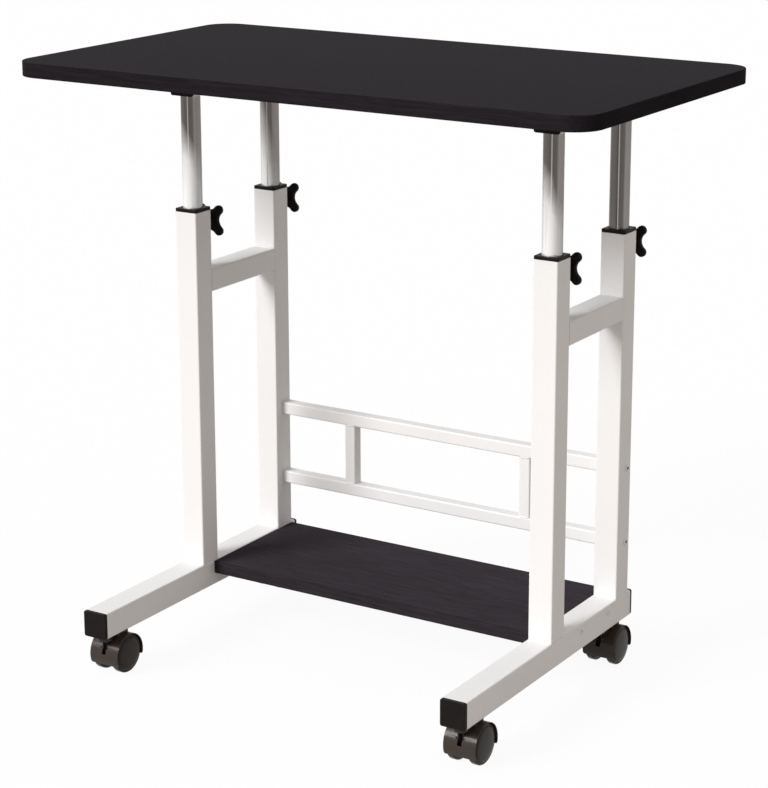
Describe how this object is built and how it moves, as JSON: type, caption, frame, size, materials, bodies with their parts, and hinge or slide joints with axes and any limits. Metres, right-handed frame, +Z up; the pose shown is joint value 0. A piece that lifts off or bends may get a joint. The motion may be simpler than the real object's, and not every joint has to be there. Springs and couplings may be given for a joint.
{
  "type": "height-adjustable desk",
  "caption": "Rolling desk whose black board slides up and down on chromed tubes clamped by lobed knobs in white steel side frames, with a low shelf and a railed back.",
  "frame": {"origin": "middle of the bounding box at floor level", "axes": "+X along the desk board to the user's right, +Y to the back, +Z up"},
  "size_m": [0.8, 0.4872, 0.7739],
  "materials": {
    "white_steel": "white powder coat, satin",
    "black_laminate": "black wood-grain laminate on particle board",
    "black_edge": "black edge band",
    "black_plastic": "black moulded plastic, fine grain",
    "smoke_plastic": "smoky black glossy plastic",
    "chrome_tube": "chromed steel",
    "zinc_steel": "zinc-plated steel"
  },
  "bodies": {
    "base": {"foot_left": "white_steel", "foot_right": "white_steel", "foot_caps": "black_plastic", "post_front_left": "white_steel", "post_front_right": "white_steel", "post_rear_left": "white_steel", "post_rear_right": "white_steel", "side_rail_left": "white_steel", "side_rail_right": "white_steel", "guide_collars": "black_plastic", "clamp_nuts": "white_steel", "back_bar_upper": "white_steel", "back_bar_lower": "white_steel", "back_strut_left": "white_steel", "back_strut_right": "white_steel", "bar_plugs": "black_plastic", "bar_bolts": "zinc_steel", "shelf_board": "black_laminate", "shelf_edge_band": "black_edge", "shelf_screws": "white_steel", "caster_stems": "zinc_steel", "stem_nuts": "zinc_steel"},
    "top": {"desk_board": "black_laminate", "desk_edge_band": "black_edge", "top_rail_left": "white_steel", "top_rail_right": "white_steel", "top_rail_caps": "black_plastic", "slide_tube_front_left": "chrome_tube", "slide_tube_front_right": "chrome_tube", "slide_tube_rear_left": "chrome_tube", "slide_tube_rear_right": "chrome_tube", "board_bolts": "zinc_steel"},
    "clamp_front_left": {"knob_front_left": "black_plastic", "stud_front_left": "zinc_steel"},
    "clamp_front_right": {"knob_front_right": "black_plastic", "stud_front_right": "zinc_steel"},
    "clamp_rear_left": {"knob_rear_left": "black_plastic", "stud_rear_left": "zinc_steel"},
    "clamp_rear_right": {"knob_rear_right": "black_plastic", "stud_rear_right": "zinc_steel"},
    "caster_front_left": {"hood_front_left": "smoke_plastic", "axle_front_left": "zinc_steel"},
    "roller_front_left_outer": {"wheel_front_left_outer": "smoke_plastic"},
    "roller_front_left_inner": {"wheel_front_left_inner": "smoke_plastic"},
    "caster_front_right": {"hood_front_right": "smoke_plastic", "axle_front_right": "zinc_steel"},
    "roller_front_right_outer": {"wheel_front_right_outer": "smoke_plastic"},
    "roller_front_right_inner": {"wheel_front_right_inner": "smoke_plastic"},
    "caster_rear_left": {"hood_rear_left": "smoke_plastic", "axle_rear_left": "zinc_steel"},
    "roller_rear_left_outer": {"wheel_rear_left_outer": "smoke_plastic"},
    "roller_rear_left_inner": {"wheel_rear_left_inner": "smoke_plastic"},
    "caster_rear_right": {"hood_rear_right": "smoke_plastic", "axle_rear_right": "zinc_steel"},
    "roller_rear_right_outer": {"wheel_rear_right_outer": "smoke_plastic"},
    "roller_rear_right_inner": {"wheel_rear_right_inner": "smoke_plastic"}
  },
  "joints": [
    {"name": "height_slide", "type": "slide", "parent": "base", "child": "top", "axis": [0, 0, 1], "range_m": [-0.143, 0.09]},
    {"name": "knob_turn_front_left", "type": "hinge", "parent": "base", "child": "clamp_front_left", "pos_m": [-0.262, -0.0168, 0.55], "axis": [0, -1, 0], "range_deg": [-720, 0]},
    {"name": "knob_turn_front_right", "type": "hinge", "parent": "base", "child": "clamp_front_right", "pos_m": [0.262, -0.0168, 0.55], "axis": [0, -1, 0], "range_deg": [-720, 0]},
    {"name": "knob_turn_rear_left", "type": "hinge", "parent": "base", "child": "clamp_rear_left", "pos_m": [-0.262, 0.1586, 0.55], "axis": [0, -1, 0], "range_deg": [-720, 0]},
    {"name": "knob_turn_rear_right", "type": "hinge", "parent": "base", "child": "clamp_rear_right", "pos_m": [0.262, 0.1586, 0.55], "axis": [0, -1, 0], "range_deg": [-720, 0]},
    {"name": "swivel_front_left", "type": "hinge", "parent": "base", "child": "caster_front_left", "pos_m": [-0.262, -0.2236, 0.04], "axis": [0, 0, 1], "continuous": true},
    {"name": "roll_front_left_outer", "type": "hinge", "parent": "caster_front_left", "child": "roller_front_left_outer", "pos_m": [-0.2773, -0.2013, 0.0253], "axis": [1, 0, 0], "continuous": true},
    {"name": "roll_front_left_inner", "type": "hinge", "parent": "caster_front_left", "child": "roller_front_left_inner", "pos_m": [-0.2467, -0.2013, 0.0253], "axis": [1, 0, 0], "continuous": true},
    {"name": "swivel_front_right", "type": "hinge", "parent": "base", "child": "caster_front_right", "pos_m": [0.262, -0.2236, 0.04], "axis": [0, 0, 1], "continuous": true},
    {"name": "roll_front_right_outer", "type": "hinge", "parent": "caster_front_right", "child": "roller_front_right_outer", "pos_m": [0.2773, -0.2013, 0.0253], "axis": [1, 0, 0], "continuous": true},
    {"name": "roll_front_right_inner", "type": "hinge", "parent": "caster_front_right", "child": "roller_front_right_inner", "pos_m": [0.2467, -0.2013, 0.0253], "axis": [1, 0, 0], "continuous": true},
    {"name": "swivel_rear_left", "type": "hinge", "parent": "base", "child": "caster_rear_left", "pos_m": [-0.262, 0.1294, 0.04], "axis": [0, 0, 1], "continuous": true},
    {"name": "roll_rear_left_outer", "type": "hinge", "parent": "caster_rear_left", "child": "roller_rear_left_outer", "pos_m": [-0.2773, 0.1517, 0.0253], "axis": [1, 0, 0], "continuous": true},
    {"name": "roll_rear_left_inner", "type": "hinge", "parent": "caster_rear_left", "child": "roller_rear_left_inner", "pos_m": [-0.2467, 0.1517, 0.0253], "axis": [1, 0, 0], "continuous": true},
    {"name": "swivel_rear_right", "type": "hinge", "parent": "base", "child": "caster_rear_right", "pos_m": [0.262, 0.1294, 0.04], "axis": [0, 0, 1], "continuous": true},
    {"name": "roll_rear_right_outer", "type": "hinge", "parent": "caster_rear_right", "child": "roller_rear_right_outer", "pos_m": [0.2773, 0.1517, 0.0253], "axis": [1, 0, 0], "continuous": true},
    {"name": "roll_rear_right_inner", "type": "hinge", "parent": "caster_rear_right", "child": "roller_rear_right_inner", "pos_m": [0.2467, 0.1517, 0.0253], "axis": [1, 0, 0], "continuous": true}
  ]
}
